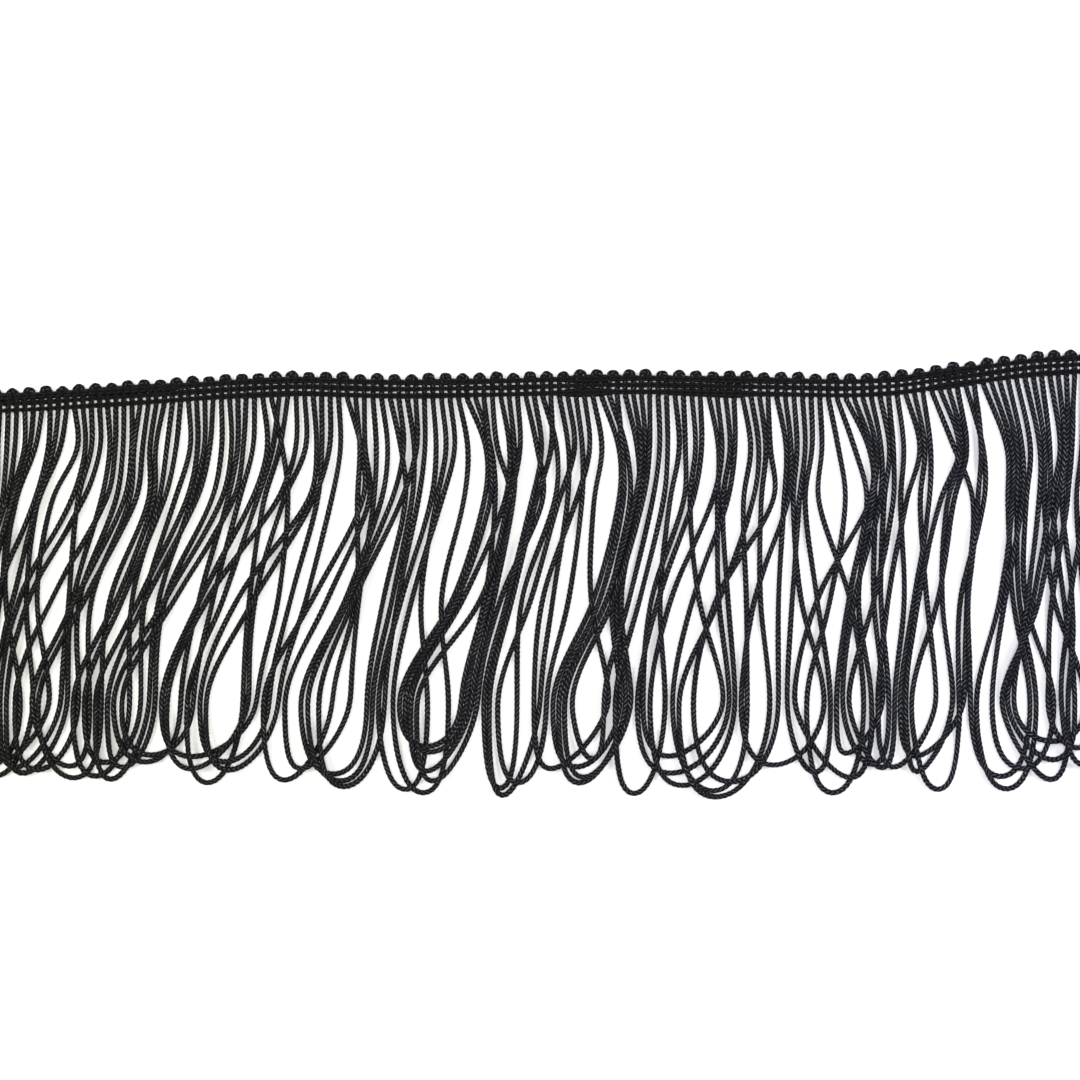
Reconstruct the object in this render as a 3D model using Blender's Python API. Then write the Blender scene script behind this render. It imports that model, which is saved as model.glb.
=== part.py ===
# Cut length of looped fringe trim, lying flat and face up on a surface.
#
# A narrow heading of three rows of chain stitch runs along X. The cord leaves its
# lower edge as 66 long loops, which gather into bunches, part again, and lie over
# one another in the order of the loops. Sizes are in millimetres until they are
# placed in the scene, which is in metres.
import math

import bmesh
import bpy
import numpy as np

MM = 0.001
WELD = 0.001 * MM

# Heading, heights measured up from its lower edge
LOOP_COUNT = 66
LOOP_PITCH = 6.0
STITCH_PITCH = 3.0
LENGTH = LOOP_COUNT * LOOP_PITCH
ROW_GAP = 0.3
BACKING_TOP = 1.85
MIDDLE_LOW = BACKING_TOP + ROW_GAP
MIDDLE_TOP = 4.5
PICOT_LOW = MIDDLE_TOP + ROW_GAP
PICOT_SHOULDER = 6.5
PICOT_RADIUS = 2.35
PICOT_STEPS = 6
ROW_THICK = 2.3
PICOT_THICK = 1.9
WAIST_DROP = 0.55
WAIST_INSET = 0.35

# Lower edge of the heading along the trim
# Columns: distance from the left cut end, drop below a straight datum line, and how far
# its stitches have slipped to the right of their even places
EDGE_TABLE = (
    (0.0, 5.7, 0.0), (19.0, 4.8, 0.0), (37.0, 3.6, -0.3), (55.0, 2.5, -0.9),
    (73.0, 1.1, -1.6), (91.0, 0.0, -1.9), (109.0, -0.7, -2.0), (127.0, 0.0, -1.8),
    (145.0, 0.4, -1.3), (181.0, -0.2, -0.8), (217.0, -1.2, -1.0), (235.0, -1.2, -1.6),
    (270.0, -0.5, -1.4), (306.0, 0.2, -0.5), (324.0, -0.9, 0.0), (334.5, -2.6, 0.2),
    (352.0, -5.0, 0.6), (370.0, -7.5, 0.6), (388.0, -8.6, 0.4), (396.0, -8.8, 0.0),
)

# Square cord of the loops: its root lies inside the heading's lowest strip, and a
# loop passes LIFT above every loop laid before it that comes within REACH
CORD_SIDE = 1.45
CORD_BASE = 0.5 * CORD_SIDE
ROOT_DEPTH_IN = 1.0
ROOT_HEIGHT = 1.1
LIFT = 1.7
REACH = 1.62
SAMPLE_STEP = 1.0
LAY_ROUNDS = 400
LAY_TOLERANCE = 0.001

# Levels down the loops, as drops below the datum line: where a leg's place is given,
# and where it has its joints
LEVELS = (18.0, 36.5, 72.0, 108.0)
JOINT_DROPS = (18.0, 36.5, 56.0, 80.0, 108.0)
SIDE_DROP = LEVELS[-1]
SIDE_LEAN = 0.25
BOW_STEPS = 4

# Shape of a bow: exponent of its superellipse when its foot lies halfway, what it
# gains when the foot lies nearer that side, and its range
BOW_EVEN = 2.3
BOW_GAIN = 2.0
BOW_LEAST = 1.45
BOW_MOST = 2.8

# Where each loop lies, from the left end of the trim to the right
# Columns: x of its left and right leg at each of the four levels, from the upper one
# down to the side of the bow; x and drop of the bow's lowest point
LOOP_TABLE = (
    (0.7, 4.0, -0.2, 2.4, -13.0, -4.5, -26.0, -11.0, -19.5, 133.5),
    (6.9, 10.4, 4.0, 5.4, -8.0, 1.6, -19.0, -4.0, -13.5, 131.0),
    (12.2, 14.3, 6.3, 7.3, -3.5, 3.6, -11.0, 9.0, -1.5, 131.0),
    (18.9, 20.8, 14.0, 15.1, 0.5, 11.0, -6.5, 13.5, 0.5, 135.5),
    (23.2, 29.5, 15.7, 20.2, 6.3, 14.8, -1.0, 19.5, 3.5, 129.5),
    (32.2, 34.4, 27.2, 29.4, 8.7, 26.2, 1.5, 23.5, 7.5, 132.5),
    (37.5, 40.9, 31.5, 37.8, 12.1, 27.8, 3.8, 25.8, 10.5, 134.5),
    (42.8, 45.6, 39.7, 43.1, 20.1, 30.0, 7.0, 29.8, 15.5, 133.0),
    (48.7, 49.4, 46.0, 48.0, 29.0, 34.3, 13.0, 33.6, 26.5, 132.0),
    (52.5, 55.1, 50.2, 54.8, 32.2, 40.9, 15.3, 37.8, 28.0, 136.0),
    (57.2, 61.2, 56.6, 58.5, 43.4, 48.8, 27.8, 48.0, 36.0, 135.5),
    (64.5, 69.7, 60.4, 64.1, 45.5, 53.4, 31.8, 52.0, 39.5, 130.5),
    (72.3, 74.7, 68.3, 70.1, 51.5, 58.4, 35.7, 55.0, 41.5, 137.0),
    (76.6, 80.9, 71.9, 77.3, 54.0, 60.7, 39.9, 57.1, 46.0, 132.5),
    (84.4, 86.6, 80.8, 83.0, 61.0, 72.8, 42.0, 66.2, 54.0, 130.0),
    (88.6, 92.1, 85.1, 87.1, 64.2, 77.8, 45.0, 70.8, 56.0, 127.5),
    (97.3, 102.6, 91.6, 104.6, 73.4, 101.1, 59.2, 93.5, 71.0, 128.0),
    (99.2, 101.8, 93.5, 96.0, 81.4, 90.8, 68.5, 88.5, 76.0, 138.0),
    (107.4, 111.0, 100.9, 103.1, 75.9, 92.8, 61.3, 90.6, 70.5, 132.5),
    (114.8, 116.7, 112.0, 115.2, 86.5, 105.5, 73.0, 97.9, 82.5, 130.0),
    (119.5, 123.4, 113.7, 120.1, 92.6, 111.1, 75.2, 101.2, 84.0, 133.0),
    (130.9, 130.3, 131.4, 129.4, 113.4, 128.9, 95.8, 120.5, 103.5, 137.0),
    (132.2, 136.2, 133.8, 135.3, 118.7, 130.0, 103.4, 127.0, 109.0, 133.0),
    (140.3, 145.0, 138.0, 146.7, 125.2, 138.7, 109.0, 132.8, 121.0, 134.5),
    (146.1, 149.8, 141.7, 148.9, 126.4, 141.8, 111.5, 134.8, 123.5, 137.0),
    (150.7, 153.6, 145.2, 151.2, 128.4, 143.9, 115.5, 139.2, 125.0, 139.0),
    (157.6, 161.2, 155.8, 157.7, 145.2, 152.1, 136.9, 154.5, 146.5, 140.5),
    (164.3, 169.0, 159.6, 167.5, 148.9, 159.4, 142.0, 162.0, 153.0, 141.5),
    (175.5, 177.3, 174.8, 178.7, 163.5, 175.0, 144.2, 166.5, 154.0, 124.5),
    (176.6, 179.4, 177.0, 184.6, 165.1, 176.4, 146.3, 168.5, 155.5, 126.5),
    (183.9, 185.6, 182.3, 185.2, 167.2, 178.2, 148.4, 170.5, 154.0, 134.0),
    (187.7, 193.7, 183.7, 195.8, 173.6, 180.6, 150.6, 172.5, 156.5, 137.5),
    (195.4, 200.8, 191.8, 200.1, 183.0, 188.2, 174.5, 186.5, 180.5, 140.5),
    (198.8, 204.9, 193.4, 204.6, 184.8, 199.3, 176.5, 194.8, 181.5, 143.0),
    (207.2, 209.9, 201.5, 209.7, 191.5, 205.0, 179.5, 197.0, 187.0, 138.0),
    (212.6, 217.0, 207.7, 214.0, 195.6, 212.9, 192.5, 219.5, 198.0, 133.0),
    (223.0, 225.6, 223.0, 227.0, 213.9, 220.3, 199.2, 223.5, 208.0, 132.0),
    (224.0, 229.5, 224.6, 229.8, 216.2, 222.2, 201.3, 225.5, 209.0, 138.0),
    (230.9, 232.5, 228.6, 230.4, 218.6, 223.6, 203.4, 227.5, 210.5, 136.0),
    (233.9, 237.5, 231.4, 235.0, 221.0, 226.6, 206.0, 217.5, 213.5, 130.0),
    (240.4, 244.6, 238.9, 241.2, 230.4, 237.6, 221.5, 239.5, 228.5, 142.0),
    (246.7, 250.4, 246.2, 248.3, 234.5, 251.5, 231.5, 260.5, 241.0, 128.0),
    (252.5, 258.6, 249.4, 258.2, 237.0, 258.6, 229.5, 262.5, 242.0, 134.0),
    (259.8, 262.8, 256.4, 260.0, 241.5, 261.9, 234.0, 264.5, 246.0, 138.5),
    (264.5, 270.2, 261.7, 267.4, 249.3, 268.5, 242.0, 268.8, 256.5, 140.5),
    (273.0, 275.6, 270.9, 273.8, 258.8, 273.5, 244.3, 277.0, 258.0, 142.5),
    (277.0, 282.8, 278.3, 282.0, 257.5, 280.0, 249.5, 280.0, 263.0, 137.0),
    (284.5, 286.7, 283.3, 285.2, 271.4, 288.0, 266.6, 296.5, 278.5, 131.0),
    (289.6, 292.1, 287.4, 289.4, 284.9, 293.8, 283.0, 298.6, 293.0, 134.5),
    (295.6, 301.4, 294.2, 304.0, 305.5, 298.5, 310.5, 290.0, 299.5, 141.5),
    (307.2, 312.5, 311.7, 314.5, 305.0, 314.0, 300.7, 317.5, 303.0, 128.0),
    (313.0, 315.0, 312.7, 313.6, 293.7, 308.5, 285.5, 313.3, 305.5, 136.0),
    (316.8, 319.8, 316.3, 317.8, 307.0, 316.6, 302.8, 319.5, 313.5, 131.5),
    (320.9, 324.9, 321.1, 323.6, 314.0, 325.0, 304.9, 321.5, 317.0, 133.0),
    (330.8, 332.5, 325.7, 330.6, 319.2, 333.0, 315.4, 336.5, 321.0, 132.5),
    (334.4, 342.9, 333.9, 349.6, 328.5, 347.4, 323.5, 346.5, 328.5, 128.5),
    (344.8, 346.0, 337.9, 340.4, 329.8, 338.5, 325.5, 342.5, 329.0, 134.5),
    (347.2, 353.2, 342.7, 353.6, 336.9, 345.0, 327.5, 344.5, 337.0, 140.5),
    (352.3, 361.8, 351.2, 362.0, 347.6, 363.8, 348.6, 370.0, 359.5, 135.5),
    (363.6, 365.4, 363.5, 365.3, 359.2, 366.0, 350.7, 372.2, 361.5, 140.0),
    (367.2, 370.2, 367.0, 368.6, 361.0, 368.2, 356.3, 378.5, 367.0, 132.5),
    (373.5, 375.3, 373.2, 375.0, 369.0, 378.5, 364.0, 390.0, 378.0, 122.5),
    (377.1, 380.8, 376.7, 378.0, 371.0, 382.0, 361.6, 386.0, 378.0, 129.5),
    (382.4, 383.6, 379.6, 381.3, 372.8, 385.0, 359.5, 383.5, 377.5, 137.0),
    (384.6, 388.5, 383.2, 386.5, 377.6, 389.5, 376.2, 395.0, 386.5, 125.0),
    (391.0, 394.5, 389.5, 392.5, 384.0, 396.5, 380.8, 401.5, 390.0, 131.5),
)


def edge_drop(x):
    """Drop of the heading's lower edge below the datum line."""
    places, drops, _ = zip(*EDGE_TABLE)
    return float(np.interp(x, places, drops))


def slipped(x):
    """Where a stitch whose even place is x has slipped to."""
    places, _, slips = zip(*EDGE_TABLE)
    return x + float(np.interp(x, places, slips))


# Plan of a loop

def ease(start, end, slope_start, slope_end, drop):
    """x at a drop, on a cubic between two (x, drop) places with given slopes dx/ddrop."""
    run = end[1] - start[1]
    t = (drop - start[1]) / run
    stay = 2 * t**3 - 3 * t**2 + 1
    leave = t**3 - 2 * t**2 + t
    arrive = t**3 - t**2
    return stay * start[0] + (1 - stay) * end[0] + run * (leave * slope_start + arrive * slope_end)


def leg_plan(root_x, levels_x):
    """Joints of one leg as (x, drop): from the heading down to the side of the bow."""
    top = edge_drop(root_x)
    places = [(root_x, top)] + list(zip(levels_x, LEVELS))
    slopes = [(places[1][0] - root_x) / (places[1][1] - top)]
    for above, below in zip(places[:-2], places[2:]):
        slopes.append((below[0] - above[0]) / (below[1] - above[1]))
    slopes.append(SIDE_LEAN * (places[-1][0] - places[-2][0]) / (places[-1][1] - places[-2][1]))
    joints = [(root_x, top - ROOT_DEPTH_IN)]
    for drop in JOINT_DROPS:
        run = sum(level < drop for level in LEVELS)
        joints.append((ease(places[run], places[run + 1], slopes[run], slopes[run + 1], drop), drop))
    return joints


def bow_plan(side_x, other_x, foot_x, foot_drop):
    """Joints of half a bow as (x, drop), on a quarter of a superellipse."""
    reach = abs(side_x - foot_x) / (0.5 * abs(other_x - side_x))
    fullness = min(BOW_MOST, max(BOW_LEAST, BOW_EVEN + BOW_GAIN * (1.0 - reach)))
    joints = []
    for step in range(1, BOW_STEPS + 1):
        angle = 0.5 * math.pi * step / BOW_STEPS
        across = max(0.0, math.cos(angle)) ** (2 / fullness)
        down = math.sin(angle) ** (2 / fullness)
        joints.append((foot_x + (side_x - foot_x) * across, SIDE_DROP + (foot_drop - SIDE_DROP) * down))
    return joints


def loop_plan(index):
    """Joints of a whole loop as an array of x and y, left leg first."""
    *levels, foot, foot_drop = LOOP_TABLE[index]
    left_x = levels[0::2]
    right_x = levels[1::2]
    root_left = slipped(LOOP_PITCH * index + 0.5 * STITCH_PITCH)
    root_right = slipped(LOOP_PITCH * index + 1.5 * STITCH_PITCH)
    left = leg_plan(root_left, left_x) + bow_plan(left_x[-1], right_x[-1], foot, foot_drop)
    right = leg_plan(root_right, right_x) + bow_plan(right_x[-1], left_x[-1], foot, foot_drop)
    joints = np.array(left + right[-2::-1])
    joints[:, 1] *= -1.0
    return joints


# Heights of the loops, laid one over another

def along(points):
    """Samples along a route, with the number of their run and how far along it they are."""
    rows = []
    for run, (start, end) in enumerate(zip(points[:-1], points[1:])):
        count = max(2, math.ceil(np.hypot(*(end - start)[:2]) / SAMPLE_STEP))
        for step in range(count):
            part = step / count
            rows.append((*(start + part * (end - start)), run, part))
    table = np.array(rows)
    return table[:, :-2], table[:, -2].astype(int), table[:, -1]


def lay_over(plan, laid):
    """Heights of a loop's joints that clear every loop under it."""
    points, run, part = along(plan)
    need = np.full(len(points), CORD_BASE)
    for under in laid:
        apart = np.hypot(points[:, None, 0] - under[None, :, 0], points[:, None, 1] - under[None, :, 1])
        over = np.where(apart < REACH, under[None, :, 2] + LIFT, 0.0)
        need = np.maximum(need, over.max(axis=1))
    heights = np.full(len(plan), CORD_BASE)
    for _ in range(LAY_ROUNDS):
        short = need - (heights[run] * (1 - part) + heights[run + 1] * part)
        worst = int(short.argmax())
        if short[worst] < LAY_TOLERANCE:
            break
        start = run[worst]
        share = part[worst]
        weight = share**2 + (1 - share) ** 2
        heights[start] += short[worst] * (1 - share) / weight
        heights[start + 1] += short[worst] * share / weight
    return heights


def lay_loops():
    """Routes of all the loops as arrays of x, y and z."""
    routes = []
    laid = []
    for index in range(LOOP_COUNT):
        plan = loop_plan(index)
        heights = lay_over(plan, laid)
        route = np.column_stack((plan, heights))
        laid.append(along(route)[0])
        route[0, 2] = ROOT_HEIGHT
        route[-1, 2] = ROOT_HEIGHT
        routes.append(route)
    return routes


# Scene helpers

def new_material(name, colour, roughness):
    material = bpy.data.materials.new(name)
    material.use_nodes = True
    shader = material.node_tree.nodes["Principled BSDF"]
    shader.inputs["Base Color"].default_value = (*colour, 1.0)
    shader.inputs["Roughness"].default_value = roughness
    shader.inputs["Metallic"].default_value = 0.0
    return material


def new_object(name, data, material, collection):
    piece = bpy.data.objects.new(name, data)
    data.materials.append(material)
    collection.objects.link(piece)
    return piece


def curve_as_mesh(curve_object, name):
    """Mesh of a finished curve with its caps welded, and its place; the curve is removed."""
    bpy.context.view_layer.update()
    evaluated = curve_object.evaluated_get(bpy.context.evaluated_depsgraph_get())
    mesh = bpy.data.meshes.new_from_object(evaluated)
    mesh.name = name
    shape = bmesh.new()
    shape.from_mesh(mesh)
    bmesh.ops.remove_doubles(shape, verts=shape.verts, dist=WELD)
    bmesh.ops.recalc_face_normals(shape, faces=shape.faces)
    shape.to_mesh(mesh)
    shape.free()
    place = curve_object.matrix_world.copy()
    bpy.data.objects.remove(curve_object)
    return mesh, place


# Heading

def strip_mesh(name, low, high, section_pitch, waisted):
    """A strip of the heading between two heights; waisted strips narrow between stitches."""
    shape = bmesh.new()
    sections = round(LENGTH / section_pitch)
    bmesh.ops.create_grid(shape, x_segments=sections, y_segments=1, size=0.5)
    bottom = list(shape.verts)
    bmesh.ops.extrude_face_region(shape, geom=list(shape.faces), use_keep_orig=True)
    for vert in shape.verts:
        section = round((vert.co.x + 0.5) * sections)
        waist = 1.0 if waisted and section % 2 == 0 else 0.0
        x = section * section_pitch
        inset = WAIST_INSET * waist
        height = high - inset if vert.co.y > 0 else low + inset
        level = 0.0 if vert in bottom else ROW_THICK - WAIST_DROP * waist
        vert.co = (x * MM, (height - edge_drop(x)) * MM, level * MM)
    bmesh.ops.recalc_face_normals(shape, faces=shape.faces)
    mesh = bpy.data.meshes.new(name)
    shape.to_mesh(mesh)
    shape.free()
    return mesh


def picot_outline():
    """Outline of the top row: a strip with a half-round picot over each pair of legs."""
    lower = []
    for index in range(LOOP_COUNT + 1):
        x = index * LOOP_PITCH
        lower.append((x, PICOT_LOW - edge_drop(x)))
    upper = []
    for index in range(LOOP_COUNT, -1, -1):
        first_step = PICOT_STEPS // 2 if index == LOOP_COUNT else 0
        last_step = PICOT_STEPS // 2 if index == 0 else PICOT_STEPS
        for step in range(first_step, last_step + 1):
            angle = math.pi * step / PICOT_STEPS
            x = slipped(index * LOOP_PITCH) + PICOT_RADIUS * math.cos(angle)
            upper.append((x, PICOT_SHOULDER - edge_drop(x) + PICOT_RADIUS * math.sin(angle)))
    return lower + upper


def add_picot_row(collection, material):
    curve = bpy.data.curves.new("picot_row", "CURVE")
    curve.dimensions = "2D"
    curve.fill_mode = "BOTH"
    curve.extrude = 0.5 * PICOT_THICK * MM
    outline = picot_outline()
    spline = curve.splines.new("POLY")
    spline.points.add(len(outline) - 1)
    for point, (x, y) in zip(spline.points, outline):
        point.co = (x * MM, y * MM, 0.0, 1.0)
    spline.use_cyclic_u = True
    row = new_object("picot_row", curve, material, collection)
    row.location.z = 0.5 * PICOT_THICK * MM
    return row


def add_middle_row(collection, material):
    mesh = strip_mesh("middle_row", MIDDLE_LOW, MIDDLE_TOP, 0.5 * STITCH_PITCH, waisted=True)
    return new_object("middle_row", mesh, material, collection)


# Fringe

def add_loop_curve(collection, material):
    """All the loops as one curve object of square cord, a flat side down."""
    curve = bpy.data.curves.new("loops", "CURVE")
    curve.dimensions = "3D"
    curve.twist_mode = "Z_UP"
    curve.fill_mode = "FULL"
    curve.bevel_depth = CORD_SIDE / math.sqrt(2.0) * MM
    curve.bevel_resolution = 0
    curve.use_fill_caps = True
    for route in lay_loops():
        spline = curve.splines.new("POLY")
        spline.points.add(len(route) - 1)
        for point, place in zip(spline.points, route):
            point.co = (*(place * MM), 1.0)
            point.tilt = 0.25 * math.pi
    return new_object("loops", curve, material, collection)


def add_fringe_row(collection, cutters, material):
    """The backing strip with the roots of the loops fused into it."""
    mesh = strip_mesh("fringe_row", 0.0, BACKING_TOP, LOOP_PITCH, waisted=False)
    row = new_object("fringe_row", mesh, material, collection)
    loops_mesh, place = curve_as_mesh(add_loop_curve(cutters, material), "loops")
    loops = new_object("loops_to_fuse", loops_mesh, material, cutters)
    loops.matrix_world = place
    loops.hide_render = True
    loops.display_type = "WIRE"
    fuse = row.modifiers.new("fuse the roots", "BOOLEAN")
    fuse.operation = "UNION"
    fuse.solver = "EXACT"
    fuse.object = loops
    return row, loops


def centre_on_origin(trim, pieces):
    """Move the trim so that the middle of its box stands over the origin."""
    bpy.context.view_layer.update()
    depsgraph = bpy.context.evaluated_depsgraph_get()
    places = []
    for piece in pieces:
        solid = piece.evaluated_get(depsgraph)
        mesh = solid.to_mesh()
        places.extend(piece.matrix_world @ vert.co for vert in mesh.vertices)
        solid.to_mesh_clear()
    for axis in (0, 1):
        across = [place[axis] for place in places]
        trim.location[axis] = -0.5 * (min(across) + max(across))


def main():
    for leftover in list(bpy.data.objects):
        bpy.data.objects.remove(leftover)
    collection = bpy.data.collections.new("looped_fringe_trim")
    cutters = bpy.data.collections.new("cutters")
    bpy.context.scene.collection.children.link(collection)
    bpy.context.scene.collection.children.link(cutters)
    heading_yarn = new_material("heading_yarn", (0.012, 0.012, 0.014), 0.62)
    fringe_cord = new_material("fringe_cord", (0.010, 0.010, 0.012), 0.55)

    fringe_row, loops = add_fringe_row(collection, cutters, fringe_cord)
    pieces = [
        add_picot_row(collection, heading_yarn),
        add_middle_row(collection, heading_yarn),
        fringe_row,
    ]
    trim = bpy.data.objects.new("trim", None)
    collection.objects.link(trim)
    centre_on_origin(trim, pieces)
    for piece in pieces + [loops]:
        piece.parent = trim


main()
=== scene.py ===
# Looks of a cut length of looped fringe trim, lying flat and face up.
#
# The trim is one long chainette cord. It runs down and up in 66 loops, crosses the
# heading after each of them, and turns in a small picot at the top edge. Three rows
# of chain stitch hold it. Sizes are in millimetres until they are placed.
import math

import bpy
import numpy as np
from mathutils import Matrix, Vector


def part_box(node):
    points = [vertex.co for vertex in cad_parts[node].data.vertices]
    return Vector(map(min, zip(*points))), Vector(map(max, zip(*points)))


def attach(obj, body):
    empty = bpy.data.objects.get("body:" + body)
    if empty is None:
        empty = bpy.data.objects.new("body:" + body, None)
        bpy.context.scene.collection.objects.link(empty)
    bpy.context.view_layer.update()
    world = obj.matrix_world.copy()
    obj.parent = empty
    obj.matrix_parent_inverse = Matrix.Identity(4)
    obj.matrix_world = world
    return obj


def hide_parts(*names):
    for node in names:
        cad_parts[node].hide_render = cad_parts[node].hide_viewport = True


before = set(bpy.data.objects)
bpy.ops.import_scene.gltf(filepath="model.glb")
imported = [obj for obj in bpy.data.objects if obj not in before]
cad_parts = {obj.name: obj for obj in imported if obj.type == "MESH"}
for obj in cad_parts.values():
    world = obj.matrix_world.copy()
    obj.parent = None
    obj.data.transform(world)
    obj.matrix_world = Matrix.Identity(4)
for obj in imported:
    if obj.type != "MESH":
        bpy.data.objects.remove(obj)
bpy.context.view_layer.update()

MM = 0.001

# Heading: one loop to two stitches of each row
LOOP_COUNT = 66
LOOP_PITCH = 6.0
STITCH_PITCH = 0.5 * LOOP_PITCH
LENGTH = LOOP_COUNT * LOOP_PITCH
# Heights above its lower edge: of each row's middle, and of the top row's solid where it begins
ROW_HEIGHTS = {"low": 0.95, "middle": 3.4, "top": 5.8}
PICOT_LOW = 4.8

# Lower edge of the heading along the trim
# Columns: distance from the left cut end, drop below a straight datum line, and how far
# its stitches have slipped to the right of their even places
EDGE_TABLE = (
    (0.0, 5.7, 0.0), (19.0, 4.8, 0.0), (37.0, 3.6, -0.3), (55.0, 2.5, -0.9),
    (73.0, 1.1, -1.6), (91.0, 0.0, -1.9), (109.0, -0.7, -2.0), (127.0, 0.0, -1.8),
    (145.0, 0.4, -1.3), (181.0, -0.2, -0.8), (217.0, -1.2, -1.0), (235.0, -1.2, -1.6),
    (270.0, -0.5, -1.4), (306.0, 0.2, -0.5), (324.0, -0.9, 0.0), (334.5, -2.6, 0.2),
    (352.0, -5.0, 0.6), (370.0, -7.5, 0.6), (388.0, -8.6, 0.4), (396.0, -8.8, 0.0),
)
# The edge's corners are eased over this distance to either side, by points taken there
EDGE_SMOOTHING = 6.0
EDGE_SAMPLES = 7

# Chainette cord: a knitted chain whose stitches slant away from a line of Vs
CORD_RADIUS = 1.0
CORD_STITCH = 1.8
CORD_COLUMNS = 10
# Slant of a stitch along the cord, for each radian round it from its V
CHEVRON = 1.2
# Thickness of the cord, as a share of its radius, from one groove over the crest to the next
RING_RADII = (0.8, 1.05, 1.05, 0.8)
# How far the cord is drawn in at its sides, as a share of its width
SIDE_DRAW_IN = 0.1
# Share of the gap between two rings or columns of points within which a point is on one
NEAR = 0.2
# Gap that closes where one stitch's ring meets the next one's
MERGE_GAP = 0.02
# Straight cord that all the others are cut from, longer than the longest loop
STRAIGHT_LENGTH = 330.0
# Cord that twists round once, and how far each loop's and each picot's cord is twisted at
# its start from the one before, in radians
CORD_TURN = 95.0
LOOP_TWIST = 2.4
PICOT_TWIST = 1.3
LOOPS_PER_PIECE = 11

# Levels down the loops, as drops below the datum line, where a leg's place is given
LEVELS = (18.0, 36.5, 72.0, 108.0)
SIDE_DROP = LEVELS[-1]
# Share of its lean that a leg keeps where its bow begins
SIDE_LEAN = 0.25
# Parts of a run between two levels and of half a bow, and the even steps of a route when
# it is laid, when its cord is bent along it, and in the heading
RUN_PARTS = 8
BOW_PARTS = 12
ROUTE_STEP = 1.5
CORD_STEP = 1.0
PICOT_STEP = 0.5
# Rounds of easing, and the depth that a bow loses by them
ROUTE_ROUNDS = 8
BOW_ALLOWANCE = 0.5

# Shape of a bow: exponent of its superellipse when its foot lies halfway, what it
# gains when the foot lies nearer that side, and its range
BOW_EVEN = 2.3
BOW_GAIN = 2.0
BOW_LEAST = 1.45
BOW_MOST = 2.8

# Levels of a cord's middle on the surface and in the heading
CORD_BASE = 1.13
HEADING_LEVEL = 1.21
# How the loops lie on one another: the lift over a loop within this reach, the fall for each
# millimetre from there, and the rounds in which they settle
LIFT = 1.6
REACH = 1.5
FALL = 0.3
SETTLE_ROUNDS = 6

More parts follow.
